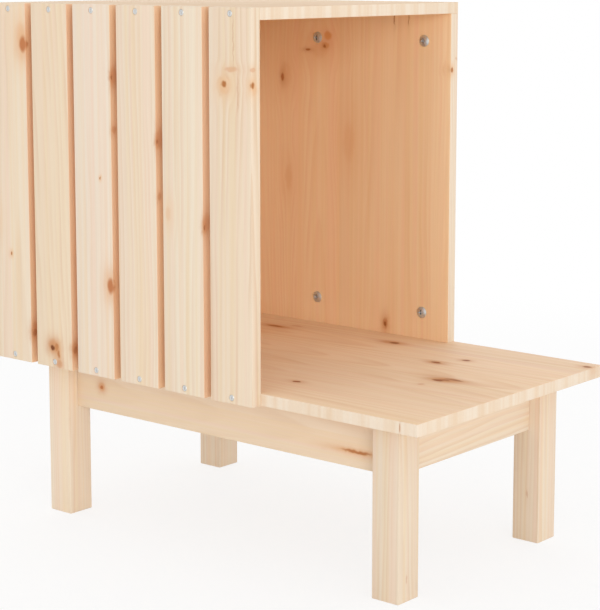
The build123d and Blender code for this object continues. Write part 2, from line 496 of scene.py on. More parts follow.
@dataclass(frozen=True)
class PineFinish:
    """Pine, planed and sanded but not lacquered.

    It gives the eye pale, matt wood with soft rings, rosy and yellowish lines along the
    fibres, and amber or brown knots that the rings bend round. Bare wood has little sheen.
    Its fibres are about 0.04 mm wide, too fine for the render, so bundles of them are drawn.
    """

    early_wood: str = "#ecdbc5"
    late_wood: str = "#dbb690"
    rosy_line: str = "#edd0b9"
    yellow_line: str = "#ebd3ae"
    ring_share: float = 0.45
    line_share: float = 0.55
    fibre_depth: float = 0.035
    stave_shade: float = 0.06
    stave_scatter: float = 0.9
    stave_seed: float = 0.37
    late_wood_start: float = 0.15
    late_wood_peak: float = 0.86
    roughness: float = 0.66
    roughness_spread: Point2 = (-0.06, 0.08)
    sheen: float = 0.3
    relief: float = 0.12 * MM
    relief_share: float = 0.35
    ring_relief: float = 0.5
    ragged: Pattern = Pattern(6.0, 9.0, 2.0, 4.5)
    wide_warp: Pattern = Pattern(70.0, 420.0, 1.0, 26.0)
    fine_warp: Pattern = Pattern(11.0, 130.0, 1.0, 6.5)
    faint_rings: Pattern = Pattern(12.0, 300.0)
    faint_span: Point2 = (0.36, 0.64)
    faint_least: float = 0.05
    rosy_lines: Pattern = Pattern(8.0, 900.0, 2.0)
    yellow_lines: Pattern = Pattern(5.0, 900.0, 2.0)
    line_span: Point2 = (0.46, 0.66)
    fibres: Pattern = Pattern(0.9, 34.0, 2.0)

    def material(
        self, name: str, grain: Grain, low: Vector, high: Vector, marks: Sequence[Mark] = ()
    ) -> Material:
        """Make the wood of one piece.

        Args:
            name: The material's name.
            grain: How the piece was sawn.
            low: The piece's lowest corner, in metres.
            high: Its highest corner.
            marks: The knots and streaks on it.

        Returns:
            The material.
        """
        material = empty_material(name)
        tree = material.node_tree
        place = in_millimetres(tree)
        ragged_place = compute(
            tree, place, ("ADD", self.ragged.drift(tree, place, grain)), kind=VECTOR
        )
        wraps = [(mark, *mark.measure(tree, ragged_place)) for mark in marks]
        rings, stave = self._rings(tree, place, grain, low, high, wraps)
        fibre = self.fibres.draw(tree, place, grain)
        colour = self._colour(tree, place, grain, (rings, stave, fibre))
        for mark, distance, halo in wraps:
            colour = mark.paint(tree, colour, distance, halo)
        relief = compute(tree, rings, ("MULTIPLY", self.ring_relief), ("ADD", fibre))
        smoother, rougher = self.roughness_spread
        show_surface(
            tree,
            {
                "Base Color": colour,
                "Roughness": add_node(
                    tree,
                    "ShaderNodeMapRange",
                    {0: fibre, 3: self.roughness + smoother, 4: self.roughness + rougher},
                ),
                "Normal": add_node(
                    tree,
                    "ShaderNodeBump",
                    {"Strength": self.relief_share, "Distance": self.relief, "Height": relief},
                ),
                "IOR": WOOD_IOR,
                "Specular IOR Level": self.sheen,
            },
        )
        return material

    def _rings(
        self,
        tree: Tree,
        place: Socket,
        grain: Grain,
        low: Vector,
        high: Vector,
        wraps: Sequence[tuple[Mark, Socket, Socket]],
    ) -> tuple[Socket, Socket]:
        """Draw the growth rings as shells about a leaning pith line, one line for each stave.

        Args:
            tree: The node tree that takes the nodes.
            place: Each point's place, in millimetres.
            grain: How the piece was sawn.
            low: The piece's lowest corner, in metres.
            high: Its highest corner.
            wraps: Each mark with its distance and its halo.

        Returns:
            How much late wood each point has, and a chance value for each stave.
        """
        edge = low[grain.across.value] / MM
        stave_width = min(grain.stave_width, high[grain.across.value] / MM - edge)
        middle = (low + high) / 2 / MM
        parts = add_node(tree, "ShaderNodeSeparateXYZ", {0: place}).node.outputs
        across, through, along = (
            parts[axis.value] for axis in (grain.across, grain.through, grain.along)
        )
        stave = compute(
            tree, across, ("SUBTRACT", edge), ("MULTIPLY", 1 / grain.stave_width), ("FLOOR",)
        )
        chance = add_node(
            tree,
            "ShaderNodeTexWhiteNoise",
            {"W": compute(tree, stave, ("ADD", grain.seed + self.stave_seed))},
            out=1,
            noise_dimensions="1D",
        )
        chances = add_node(tree, "ShaderNodeSeparateXYZ", {0: chance}).node.outputs
        scatter = ("MULTIPLY", stave_width * self.stave_scatter)
        pith = compute(
            tree,
            stave,
            ("ADD", 0.5),
            ("MULTIPLY", stave_width),
            ("ADD", edge + grain.pith_side),
            ("ADD", compute(tree, chances[0], ("SUBTRACT", 0.5), scatter)),
        )
        warp = compute(
            tree,
            self.wide_warp.drift(tree, place, grain),
            ("ADD", self.fine_warp.drift(tree, place, grain)),
        )
        from_pith = compute(tree, across, ("SUBTRACT", pith), ("ADD", warp))
        for mark, _, halo in wraps:
            push = mark.kind.value.push
            if push:
                from_mark = ("SUBTRACT", mark.place[grain.across.value])
                pushed = compute(tree, across, from_mark, ("MULTIPLY", halo), ("MULTIPLY", -push))
                from_pith = compute(tree, from_pith, ("ADD", pushed))
        leaning = compute(
            tree,
            along,
            ("SUBTRACT", middle[grain.along.value]),
            ("MULTIPLY", chances[2]),
            ("MULTIPLY", grain.lean),
        )
        depth = compute(
            tree,
            through,
            ("SUBTRACT", middle[grain.through.value]),
            ("ADD", grain.pith_depth),
            ("ADD", leaning),
        )
        both = add_node(tree, "ShaderNodeCombineXYZ", {0: from_pith, 1: depth})
        radius = add_node(tree, VECTOR, {0: both}, out=1, operation="LENGTH")
        year = compute(tree, radius, ("MULTIPLY", 1 / grain.ring_spacing), ("FRACT",))
        peak = self.late_wood_peak
        rising, falling = (
            add_node(tree, "ShaderNodeMapRange", {0: year, **span}, **SMOOTH)
            for span in (
                {1: self.late_wood_start, 2: peak},
                {1: peak, 2: 1.0, 3: 1.0, 4: 0.0},
            )
        )
        start, end = self.faint_span
        strength = add_node(
            tree,
            "ShaderNodeMapRange",
            {0: self.faint_rings.draw(tree, place, grain), 1: start, 2: end, 3: self.faint_least},
        )
        late = compute(tree, rising, ("MULTIPLY", falling), ("MULTIPLY", strength))
        return late, chances[1]

    def _colour(
        self,
        tree: Tree,
        place: Socket,
        grain: Grain,
        patterns: tuple[Socket, Socket, Socket],
    ) -> Socket:
        """Colour the plain wood.

        Args:
            tree: The node tree that takes the nodes.
            place: Each point's place, in millimetres.
            grain: How the piece was sawn.
            patterns: The rings, the chance value of each stave and the fibres.

        Returns:
            The colour.
        """
        rings, stave, fibre = patterns
        layers = [(compute(tree, rings, ("MULTIPLY", self.ring_share)), self.late_wood)]
        start, end = self.line_span
        for tint, lines in (
            (self.rosy_line, self.rosy_lines),
            (self.yellow_line, self.yellow_lines),
        ):
            drawn = lines.draw(tree, place, grain)
            share = {0: drawn, 1: start, 2: end, 4: self.line_share}
            layers.append((add_node(tree, "ShaderNodeMapRange", share), tint))
        colour = linear(self.early_wood)
        for share, tint in layers:
            colour = add_node(
                tree, "ShaderNodeMix", {0: share, 6: colour, 7: linear(tint)}, **MIX_COLOURS
            )
        shade = compute(
            tree,
            fibre,
            ("MULTIPLY", 2 * self.fibre_depth),
            ("ADD", 1.0 - self.fibre_depth - self.stave_shade / 2),
            ("ADD", compute(tree, stave, ("MULTIPLY", self.stave_shade))),
        )
        return add_node(tree, VECTOR, {0: colour, "Scale": shade}, operation="SCALE")


@dataclass(frozen=True)
class BoardEdgeFinish:
    """The sawn and sanded edge of a glued pine board.

    It gives the eye a pale strip with soft upright bands. band and pore are the sizes of
    their patches along X, Y and Z in millimetres. The pores of pine are about 0.03 mm wide,
    too fine for the render, so they are drawn a millimetre wide.
    """

    pale: str = "#f0dfca"
    deep: str = "#ead1b4"
    band: Point = (9.0, 9.0, 400.0)
    pore: Point = (10 / 9, 10 / 9, 2.0)
    band_span: Point2 = (0.36, 0.68)
    pore_shade: Point2 = (0.95, 1.03)
    roughness: float = 0.68
    sheen: float = 0.3
    relief: float = 0.1 * MM
    relief_share: float = 0.3

    def material(self, name: str, marks: Sequence[Mark] = ()) -> Material:
        """Make the finish of a board's edges.

        Args:
            name: The material's name.
            marks: The cracks on it.

        Returns:
            The material.
        """
        material = empty_material(name)
        tree = material.node_tree
        place = in_millimetres(tree)
        drawn = []
        for sizes in (self.band, self.pore):
            steps = tuple(1 / size for size in sizes)
            spread = compute(tree, place, ("MULTIPLY", steps), kind=VECTOR)
            links = {"Vector": spread, "Scale": 1.0, "Detail": 2.0}
            drawn.append(add_node(tree, "ShaderNodeTexNoise", links))
        tone, pores = drawn
        start, end = self.band_span
        share = add_node(tree, "ShaderNodeMapRange", {0: tone, 1: start, 2: end})
        colour = add_node(
            tree,
            "ShaderNodeMix",
            {0: share, 6: linear(self.pale), 7: linear(self.deep)},
            **MIX_COLOURS,
        )
        darkest, palest = self.pore_shade
        shade = add_node(tree, "ShaderNodeMapRange", {0: pores, 3: darkest, 4: palest})
        colour = add_node(tree, VECTOR, {0: colour, "Scale": shade}, operation="SCALE")
        for mark in marks:
            colour = mark.paint(tree, colour, *mark.measure(tree, place))
        show_surface(
            tree,
            {
                "Base Color": colour,
                "Roughness": self.roughness,
                "Normal": add_node(
                    tree,
                    "ShaderNodeBump",
                    {"Strength": self.relief_share, "Distance": self.relief, "Height": pores},
                ),
                "IOR": WOOD_IOR,
                "Specular IOR Level": self.sheen,
            },
        )
        return material


@dataclass(frozen=True)
class ZincFinish:
    """Zinc-plated steel, tumbled and passivated.

    It gives the eye a bright, fairly sharp grey shine with faint cloudy patches.
    """

    colour: str = "#e4e4e2"
    cloud: str = "#cfd0cf"
    roughness: float = 0.32
    roughness_spread: float = 0.08
    cloud_size: float = 2.2 * MM

    def material(self, name: str) -> Material:
        """Make the plated steel.

        Args:
            name: The material's name.

        Returns:
            The material.
        """
        material = empty_material(name)
        tree = material.node_tree
        metres = add_node(tree, "ShaderNodeTexCoord", out=3)
        clouds = add_node(
            tree,
            "ShaderNodeTexNoise",
            {"Vector": metres, "Scale": 1 / self.cloud_size, "Detail": 2.0},
        )
        colour = add_node(
            tree,
            "ShaderNodeMix",
            {0: clouds, 6: linear(self.colour), 7: linear(self.cloud)},
            **MIX_COLOURS,
        )
        spread = self.roughness_spread
        gloss = add_node(
            tree,
            "ShaderNodeMapRange",
            {0: clouds, 3: self.roughness - spread, 4: self.roughness + spread},
        )
        show_surface(tree, {"Base Color": colour, "Metallic": 1.0, "Roughness": gloss})
        return material


# Holes and fasteners


@dataclass(frozen=True)
class Rod:
    """The space of one screw or dowel: its lowest and highest corner, in metres."""

    low: Vector
    high: Vector

    @property
    def middle(self) -> Vector:
        """The centre of the rod."""
        return (self.low + self.high) / 2

    def meets(self, low: Vector, high: Vector) -> bool:
        """Tell whether the rod runs into the space between two corners.

        Args:
            low: The lowest corner, in metres.
            high: The highest corner.

        Returns:
            True if they share more than a touch.
        """
        touch = 0.1 * MM
        return all(
            self.low[axis] < high[axis] - touch and self.high[axis] > low[axis] + touch
            for axis in range(3)
        )


def rods_of(node: str) -> list[Rod]:
    """Find the screws or dowels of a node, which holds them as separate solids.

    Args:
        node: The node's name.

    Returns:
        One rod for each solid, from low to high X, then Y, then Z.
    """
    activate(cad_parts[node])
    bpy.ops.object.duplicate(linked=False)
    bpy.ops.object.mode_set(mode="EDIT")
    bpy.ops.mesh.select_all(action="SELECT")
    bpy.ops.mesh.remove_doubles(threshold=0.001 * MM)
    bpy.ops.mesh.separate(type="LOOSE")
    bpy.ops.object.mode_set(mode="OBJECT")
    rods = []
    for part in list(bpy.context.selected_objects):
        corners = [Vector(corner) for corner in part.bound_box]
        low = Vector([min(corner[axis] for corner in corners) for axis in range(3)])
        high = Vector([max(corner[axis] for corner in corners) for axis in range(3)])
        rods.append(Rod(low, high))
        bpy.data.objects.remove(part)
    return sorted(rods, key=lambda rod: tuple(round(value, 4) for value in rod.middle))


@dataclass(frozen=True)
class CrossRecess:
    """The tapered cross in a screw's head, for a screwdriver.

    arm is across both arms, width across one, in metres like the depth. The floor is smaller
    than the mouth by floor_share, and the cutter stands proud of the face.
    """

    arm: float
    width: float
    depth: float
    floor_share: float = 0.6
    proud: float = 0.6 * MM

    def cut_into(self, screw: Object, top: float) -> None:
        """Cut the cross out of a screw's head.

        Args:
            screw: The screw, about the origin.
            top: The height of the head's face.
        """
        bars = []
        for x, y in ((self.arm / 2, self.width / 2), (self.width / 2, self.arm / 2)):
            low = Vector((-x, -y, top - self.depth))
            bar = add_block("recess_bar", low, Vector((x, y, top + self.proud)))
            bpy.ops.object.mode_set(mode="EDIT")
            bpy.ops.mesh.select_mode(type="FACE")
            bpy.ops.mesh.select_all(action="DESELECT")
            bpy.ops.object.mode_set(mode="OBJECT")
            for face in bar.data.polygons:
                face.select = face.normal.z < -FACING
            bpy.ops.object.mode_set(mode="EDIT")
            smaller = (self.floor_share, self.floor_share, 1)
            bpy.ops.transform.resize(value=smaller, center_override=(0, 0, low.z))
            bpy.ops.object.mode_set(mode="OBJECT")
            bars.append(bar)
        combine(bars[0], bars[1], "UNION")
        combine(screw, bars[0], "DIFFERENCE")


@dataclass
class CountersunkScrew:
    """A countersunk screw with a cross recess, in metres; its head's face is at Z = 0.

    face_share, lip_share and cross_shares are shares of the head's width: the flat face, the
    depth of its rounded lip, and the cross's arm, width and depth.
    """

    shank: float
    head: float
    length: float
    face_share: float = 0.90
    lip_share: float = 0.05
    cross_shares: Point = (0.52, 0.13, 0.10)
    rim: float = 0.4 * MM
    clearance: float = 0.22 * MM
    end_gap: float = 0.3 * MM
    mouth: float = 0.3 * MM
    tip: float = 0.12 * MM
    segments: int = 40

    def model(self, name: str) -> Object:
        """Model the screw about the origin, pointing down.

        Args:
            name: The name of the new object.

        Returns:
            The screw.
        """
        head = self.head / 2
        shank = self.shank / 2
        outline = [
            (head * self.face_share, 0.0),
            (head, -self.lip_share * self.head),
            (head, -self.rim),
            (shank, shank - head - self.rim),
            (shank, self.shank - self.length),
            (self.tip, -self.length),
        ]
        screw = add_turned(name, outline, self.segments)
        CrossRecess(*(share * self.head for share in self.cross_shares)).cut_into(screw, 0.0)
        smooth_faces(screw)
        return screw

    def hole(self, name: str) -> Object:
        """Model the space that its seat and bore take out of the wood.

        Args:
            name: The name of the new object.

        Returns:
            The cutter, about the origin.
        """
        head = self.head / 2
        shank = self.shank / 2 + self.clearance
        outline = [
            (head + self.clearance, self.mouth),
            (head + self.clearance, -self.rim),
            (shank, shank - head - self.rim),
            (shank, -self.length - self.end_gap),
        ]
        return add_turned(name, outline, self.segments)


@dataclass
class DomedScrew:
    """A screw with a wide domed head, in metres; the head's underside is at Z = 0.

    pole_share is how near the dome's first step is to its pole. lip_share of the rim's height
    is rounded in, to seat_share of the head's width.
    """

    shank: float = 5.0 * MM
    head: float = 13.5 * MM
    head_height: float = 2.8 * MM
    rim: float = 0.8 * MM
    length: float = 24.0 * MM
    cross: CrossRecess = CrossRecess(7.2 * MM, 1.7 * MM, 2.4 * MM)
    tip: float = 0.15 * MM
    steps: int = 9
    segments: int = 56
    pole_share: float = 0.02
    lip_share: float = 0.35
    seat_share: float = 0.97

    def model(self, name: str) -> Object:
        """Model the screw about the origin, pointing down.

        Args:
            name: The name of the new object.

        Returns:
            The screw.
        """
        head = self.head / 2
        rise = self.head_height - self.rim
        dome_radius = (head**2 + rise**2) / (2 * rise)
        dome_centre = self.head_height - dome_radius
        reach = math.asin(head / dome_radius)
        dome = []
        for step in range(self.steps + 1):
            angle = reach * max(step / self.steps, self.pole_share)
            height = dome_centre + dome_radius * math.cos(angle)
            dome.append((dome_radius * math.sin(angle), height))
        outline = dome + [
            (head, self.rim * self.lip_share),
            (head * self.seat_share, 0.0),
            (self.shank / 2, 0.0),
            (self.shank / 2, self.shank - self.length),
            (self.tip, -self.length),
        ]
        screw = add_turned(name, outline, self.segments)
        self.cross.cut_into(screw, self.head_height)
        smooth_faces(screw)
        return screw


@dataclass
class Fasteners:
    """All screws and dowels, which also tell the boards where to have holes."""

    slat_screw: CountersunkScrew = field(
        default_factory=lambda: CountersunkScrew(3.5 * MM, 6.6 * MM, 30.0 * MM)
    )
    block_screw: CountersunkScrew = field(
        default_factory=lambda: CountersunkScrew(4.0 * MM, 7.6 * MM, 34.0 * MM)
    )
    batten_screw: DomedScrew = field(default_factory=DomedScrew)
    bore_clearance: float = 0.1 * MM
    bore_end_gap: float = 0.3 * MM
    bore_segments: int = 32
    rods: dict[str, list[Rod]] = field(default_factory=dict)

    def find(self) -> None:
        """Read the place of every screw and dowel from the frame."""
        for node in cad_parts:
            if node.endswith(("screws", "screws_top", "screws_bottom", "dowels")):
                self.rods[node] = rods_of(node)

    def build(self, zinc: Material, blue_zinc: Material) -> None:
        """Model each kind of screw once and copy it to its places.

        Args:
            zinc: The finish of the countersunk screws.
            blue_zinc: The finish of the screws with wide heads.
        """
        wide = self.batten_screw
        for node, screw, finish, turn, along, head in (
            ("slat_screws_top", self.slat_screw, zinc, (90, 0, 0), Axis.Y, 0.0),
            ("slat_screws_bottom", self.slat_screw, zinc, (90, 0, 0), Axis.Y, 0.0),
            ("batten_screws", wide, blue_zinc, (90, 0, 0), Axis.Y, wide.head_height),
            ("corner_block_screws", self.block_screw, zinc, (180, 0, 0), Axis.Z, 0.0),
        ):
            model = screw.model(f"{node}_model")
            for number, rod in enumerate(self.rods[node], start=1):
                place = rod.middle.copy()
                place[along.value] = rod.low[along.value] + head
                activate(model)
                bpy.ops.object.duplicate(linked=False)
                copy = put(bpy.context.active_object, place, turn)
                copy.name = f"{node}_{number}"
                hand_over(copy, node, finish)
            bpy.data.objects.remove(model)

    def drill(self, piece: Object, low: Vector, high: Vector) -> None:
        """Cut the seats and bores of all screws and dowels that run into a piece.

        Args:
            piece: The piece to drill.
            low: Its lowest corner, in metres.
            high: Its highest corner.
        """
        for node, rods in self.rods.items():
            for rod in rods:
                if rod.meets(low, high):
                    combine(piece, self._cutter(node, rod), "DIFFERENCE")

    def _cutter(self, node: str, rod: Rod) -> Object:
        """Make what one screw or dowel takes out of the wood.

        Args:
            node: The node of the screw or dowel.
            rod: Its space.

        Returns:
            The cutter, at its place.
        """
        middle = rod.middle
        if node.startswith("slat_screws"):
            hole = self.slat_screw.hole("seat")
            return put(hole, Vector((middle.x, rod.low.y, middle.z)), (90, 0, 0))
        if node == "corner_block_screws":
            hole = self.block_screw.hole("seat")
            return put(hole, Vector((middle.x, middle.y, rod.low.z)), (180, 0, 0))
        size = rod.high - rod.low
        along = max(range(3), key=lambda axis: size[axis])
        across = min(size[axis] for axis in range(3) if axis != along)
        if node == "batten_screws":
            across = self.batten_screw.shank
        bpy.ops.object.select_all(action="DESELECT")
        bpy.ops.mesh.primitive_cylinder_add(
            vertices=self.bore_segments,
            radius=across / 2 + self.bore_clearance,
            depth=size[along] + 2 * self.bore_end_gap,
        )
        turn = ((0, 90, 0), (90, 0, 0), (0, 0, 0))[along]
        return put(bpy.context.active_object, middle, turn)

    def dress_dowels(self, beech: Material) -> None:
        """Give the dowels, which keep their own shape, their wood.

        Args:
            beech: Their finish.
        """
        for node in self.rods:
            if node.endswith("dowels"):
                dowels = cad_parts[node]
                dowels.data.materials.clear()
                dowels.data.materials.append(beech)
                LOG.info("%s: %d dowels", node, len(self.rods[node]))


# Sub-assemblies


@dataclass
class WoodPiece:
    """One piece of pine, as long, wide and thick as its node."""

    node: str
    grain: Grain
    easing: float
    marks: Sequence[Mark] = ()
    segments: int = 3

    def build(
        self,
        fasteners: Fasteners,
        pine: PineFinish,
        painted_shade: PineFinish | None = None,
        shaded_sides: Sequence[Point] = (),
    ) -> Object:
        """Model the piece, drill it and dress it.

        Args:
            fasteners: What runs through it.
            pine: Its finish.
            painted_shade: A deeper tone, painted shade, for the sides that lie in shade.
            shaded_sides: Where those sides face.
            shaded_sides: Where those sides face.

        Returns:
            The piece.
        """
        low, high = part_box(self.node)
        piece = add_block(f"pine_{self.node}", low, high)
        round_edges(piece, self.easing, self.segments)
        fasteners.drill(piece, low, high)
        smooth_faces(piece)
        wood = pine.material(f"sanded_pine_{self.node}", self.grain, low, high, self.marks)
        hand_over(piece, self.node, wood)
        # Painted shade: faces that look towards a shaded side take the deeper copy of the wood.
        if painted_shade:
            deeper = painted_shade.material(
                f"heartwood_{self.node}", self.grain, low, high, self.marks
            )
            piece.data.materials.append(deeper)
            for face in piece.data.polygons:
                if any(face.normal.dot(Vector(side)) > FACING for side in shaded_sides):
                    face.material_index = 1
        return piece


@dataclass(frozen=True)
class WoodTones:
    """The shades of pine here.

    They are pale sapwood; a deeper, more orange tone that paints the shade and warm bounce
    light on the den's inner faces; a rosier tone that paints the shade in the gaps between
    the slats and on their inner faces; the warm top of the bench board; a darker tone that
    paints the dimmer light on the roof's top; and the boards' sawn edges.
    """

    sapwood: PineFinish = PineFinish()
    # Painted shade and warm bounce light inside the den, as a deeper, more orange tone.
    painted_shade: PineFinish = PineFinish("#fbd9b0", "#eeb988", "#facda6", "#f6d09c", 0.40)
    # Painted shade in the gaps between the slats and on their inner faces, as a rosier, deeper tone.
    flank: PineFinish = PineFinish("#ecc5a1", "#dfaf86", "#ecbd9a", "#eac396", 0.35)
    board_top: PineFinish = PineFinish("#f6dabb", "#e3b78c", "#f3ceb0", "#efcfa2", 0.50)
    # Painted shade: a darker, duller tone on the roof's top, for the dimmer light on it.
    roof: PineFinish = PineFinish("#e9cfb2", "#d6ac82", "#e6c2a2", "#e2c59b", 0.50)
    edge: BoardEdgeFinish = BoardEdgeFinish()


@dataclass
class SubAssembly:
    """A part of the cat house, made with the fasteners in it and the shades of pine."""

    fasteners: Fasteners
    tones: WoodTones


@dataclass
class Den(SubAssembly):
    """The den and its floor: two glued boards, two glued walls and two battens."""

    easing: float = 0.5 * MM
    batten_easing: float = 1.0 * MM
    stave_width: float = 58.0

    def build(self) -> None:
        """Model the boards and walls and give the boards' edges their own finish."""
        tones = self.tones
        board = Grain(Axis.X, Axis.Z, self.stave_width, seed=3.0)
        bench_marks = marks_on(
            Axis.Z,
            200,
            (Kind.STAIN, -122, 108, 20, 7, 9),
            (Kind.RESIN, -125, 108, 15, 4.6, 9),
            (Kind.SMUDGE, -104, 125, 12, 5, 9),
            (Kind.BURL, -134, 72, 16, 9, 9),
            (Kind.STAIN, 44, 121, 17, 7, 9),
            (Kind.BROWN_KNOT, 50, 121, 8, 5.2, 9),
            (Kind.STAIN, 150, 65, 11, 6, 9),
            (Kind.BROWN_KNOT, 150, 66, 8, 4, 9),
            (Kind.BROWN_KNOT, 170, 96, 5.4, 4, 9),
            (Kind.STAIN, 210, 2, 17, 7, 9),
            (Kind.BROWN_KNOT, 216, 7, 15, 4.2, 9),
            (Kind.BROWN_KNOT, 208, 0, 9, 5, 9),
            (Kind.BROWN_KNOT, 203, -5, 9, 5, 9),
            (Kind.SMUDGE, 200, -31, 5, 4, 9),
            (Kind.BROWN_KNOT, 91, -107, 6, 3.6, 9),
            (Kind.BROWN_KNOT, 292, 155, 6, 4.6, 6),
        ) + marks_on(Axis.Z, 193.5, (Kind.CRACK, 279, -174, 0.8, 2, 6))
        self._board("bench_board", board, bench_marks)
        roof = Grain(Axis.X, Axis.Z, self.stave_width, seed=8.0)
        # The roof's top takes a darker tone, which is painted shade.
        self._board("top_board", roof, ())
        wall_marks = marks_on(
            Axis.Y,
            160.5,
            (Kind.BURL, -152, 508, 11, 20, 4),
            (Kind.RED_KNOT, -157.5, 504.5, 3, 6.5, 4),
            (Kind.BURL, -98, 540, 16, 12, 4),
            (Kind.PATCH, -84.7, 557.7, 7.5, 7, 4),
            (Kind.PATCH, -88.8, 545.3, 7, 4.5, 4),
            (Kind.RED_KNOT, -90, 544.3, 3.2, 2.4, 4),
            (Kind.RED_KNOT, -116.6, 539.5, 5, 1.6, 3),
            (Kind.BURL, -51.9, 430, 11, 30, 5),
            (Kind.BURL, -148.4, 378, 7, 20, 3),
            (Kind.RED_KNOT, 5.6, 212, 4.6, 8, 3),
            (Kind.BROWN_KNOT, 5.6, 211.5, 2.4, 4, 3),
            (Kind.CRACK, 16.7, 580, 0.8, 9, 2),
            (Kind.CRACK, 37.5, 580, 0.8, 9, 2),
        ) + marks_on(
            Axis.X,
            98.5,
            (Kind.AMBER_KNOT, 163, 522, 2.6, 4, 6),
            (Kind.LINE, 171, 535, 2, 3, 5),
        )
        wall = Grain(Axis.Z, Axis.Y, 78.0, seed=5.0)
        # The walls' faces towards the den take painted shade: a deeper, more orange tone.
        WoodPiece("back_wall", wall, self.easing, wall_marks).build(
            self.fasteners, tones.sapwood, tones.painted_shade, ((0, -1, 0),)
        )
        end = Grain(Axis.Z, Axis.X, 78.0, seed=6.0)
        WoodPiece("end_wall", end, self.easing).build(
            self.fasteners, tones.sapwood, tones.painted_shade, ((1, 0, 0),)
        )
        for seed, node in enumerate(("batten_lower", "batten_upper"), start=11):
            grain = Grain(Axis.X, Axis.Y, seed=float(seed))
            WoodPiece(node, grain, self.batten_easing).build(self.fasteners, tones.sapwood)

    def _board(self, node: str, grain: Grain, marks: Sequence[Mark]) -> None:
        """Model a board, the roof with painted shade on both faces, and both with sawn edges.

        Args:
            node: The board's node.
            grain: How it was sawn.
            marks: The knots and streaks on it.
        """
        tones = self.tones
        piece = WoodPiece(node, grain, self.easing, marks)
        if node == "bench_board":
            board = piece.build(self.fasteners, tones.board_top)
        else:
            # Painted shade: the roof's top takes a darker tone, its underside towards the den a
            # deeper one.
            board = piece.build(self.fasteners, tones.roof, tones.painted_shade, ((0, 0, -1),))
        board.data.materials.append(tones.edge.material(f"sawn_edge_{node}", marks))
        low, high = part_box(node)
        for face in board.data.polygons:
            outer = any(
                min(face.center[axis] - low[axis], high[axis] - face.center[axis]) < self.easing / 2
                for axis in (0, 1)
            )
            if outer and abs(face.normal.z) < FACING:
                face.material_index = len(board.data.materials) - 1


@dataclass(frozen=True)
class SlatWood:
    """What sets one slat's wood apart, and the rows of marks on its front and on a flank.

    flank is that flank's place along X, in millimetres.
    """

    early_wood: str
    ring_share: float
    grain: Grain
    front_marks: Sequence[tuple]
    flank: float
    flank_marks: Sequence[tuple]


# The slats' woods, from the closed end to the open one
SLAT_WOODS = (
    SlatWood(
        "#ecdbc4",
        0.40,
        Grain(Axis.Z, Axis.Y, pith_side=22.0, pith_depth=55.0, ring_spacing=6.0, seed=21.0),
        (
            (Kind.SWIRL, -250, 566, 9, 16, 5),
            (Kind.RED_KNOT, -246, 554, 7, 11.5, 6),
            (Kind.AMBER_KNOT, -273.2, 311.6, 2, 2.6, 3),
            (Kind.SWIRL, -295.5, 350.8, 4, 12, 5),
        ),
        -241.5,
        (
            (Kind.DARK_KNOT, -182, 222, 3.4, 5, 3),
            (Kind.STAIN, -182, 226, 6, 11, 2.5),
        ),
    ),
    SlatWood(
        "#ebd7bc",
        0.45,
        Grain(Axis.Z, Axis.Y, pith_side=-70.0, ring_spacing=7.0, seed=22.0),
        (
            (Kind.STAIN, -205, 213, 9, 9, 4),
            (Kind.RESIN, -199, 211, 3.4, 6, 3),
            (Kind.RESIN, -195.5, 203.5, 3.2, 6, 3),
            (Kind.STAIN, -195, 192, 6, 6, 3),
            (Kind.DARK_KNOT, -205.7, 209.8, 4.4, 4.4, 4),
        ),
        -173.5,
        (
            (Kind.DARK_KNOT, -182.5, 210.4, 3.2, 4.6, 2.4),
            (Kind.STAIN, -182, 212, 6, 10, 2),
        ),
    ),
    SlatWood(
        "#ecdcc9",
        0.25,
        Grain(Axis.Z, Axis.Y, pith_side=75.0, ring_spacing=8.0, seed=23.0),
        (
            (Kind.RED_KNOT, -109.5, 292, 6.2, 11, 6),
            (Kind.AMBER_KNOT, -123.5, 410.8, 1.3, 1.8, 2),
        ),
        -105.5,
        (
            (Kind.DARK_KNOT, -185.6, 521.8, 1.8, 3.4, 1.6),
            (Kind.STAIN, -182, 522, 8, 15, 2),
            (Kind.STAIN, -183, 464.5, 4, 6, 2),
        ),
    ),
    SlatWood(
        "#ecdac4",
        0.35,
        Grain(Axis.Z, Axis.Y, pith_side=-80.0, ring_spacing=5.5, seed=24.0),
        (),
        -37.5,
        (
            (Kind.DARK_KNOT, -185.6, 455.6, 1.8, 3.2, 1.6),
            (Kind.STAIN, -182, 458, 8, 15, 2),
            (Kind.STAIN, -183, 396.9, 3, 5, 2),
        ),
    ),
    SlatWood(
        "#eedfc9",
        0.35,
        Grain(Axis.Z, Axis.Y, pith_side=30.0, pith_depth=70.0, ring_spacing=6.0, seed=25.0),
        (
            (Kind.SWIRL, -20, 380.5, 4.5, 10, 5),
        ),
        30.5,
        (
            (Kind.DARK_KNOT, -185.6, 369.8, 1.8, 3.2, 1.6),
            (Kind.STAIN, -182, 374, 8, 13, 2),
        ),
    ),
    SlatWood(
        "#eedbc3",
        0.60,
        Grain(Axis.Z, Axis.Y, pith_side=60.0, ring_spacing=6.5, seed=26.0),
        (
            (Kind.SWIRL, 62, 517, 8, 8, 5),
            (Kind.AMBER_KNOT, 61, 521.5, 4.6, 4.4, 5),
            (Kind.SMUDGE, 71, 537, 11, 3.6, 4),
            (Kind.LINE, 74, 566, 1.3, 36, 3),
            (Kind.LINE, 80, 514, 1.5, 24, 3),
        ),
        98.5,
        (
            (Kind.SWIRL, -183, 516, 5, 7, 4),
            (Kind.AMBER_KNOT, -185, 521.5, 3, 4.4, 3),
            (Kind.SMUDGE, -185, 537, 5, 3, 3),
        ),
    ),
)


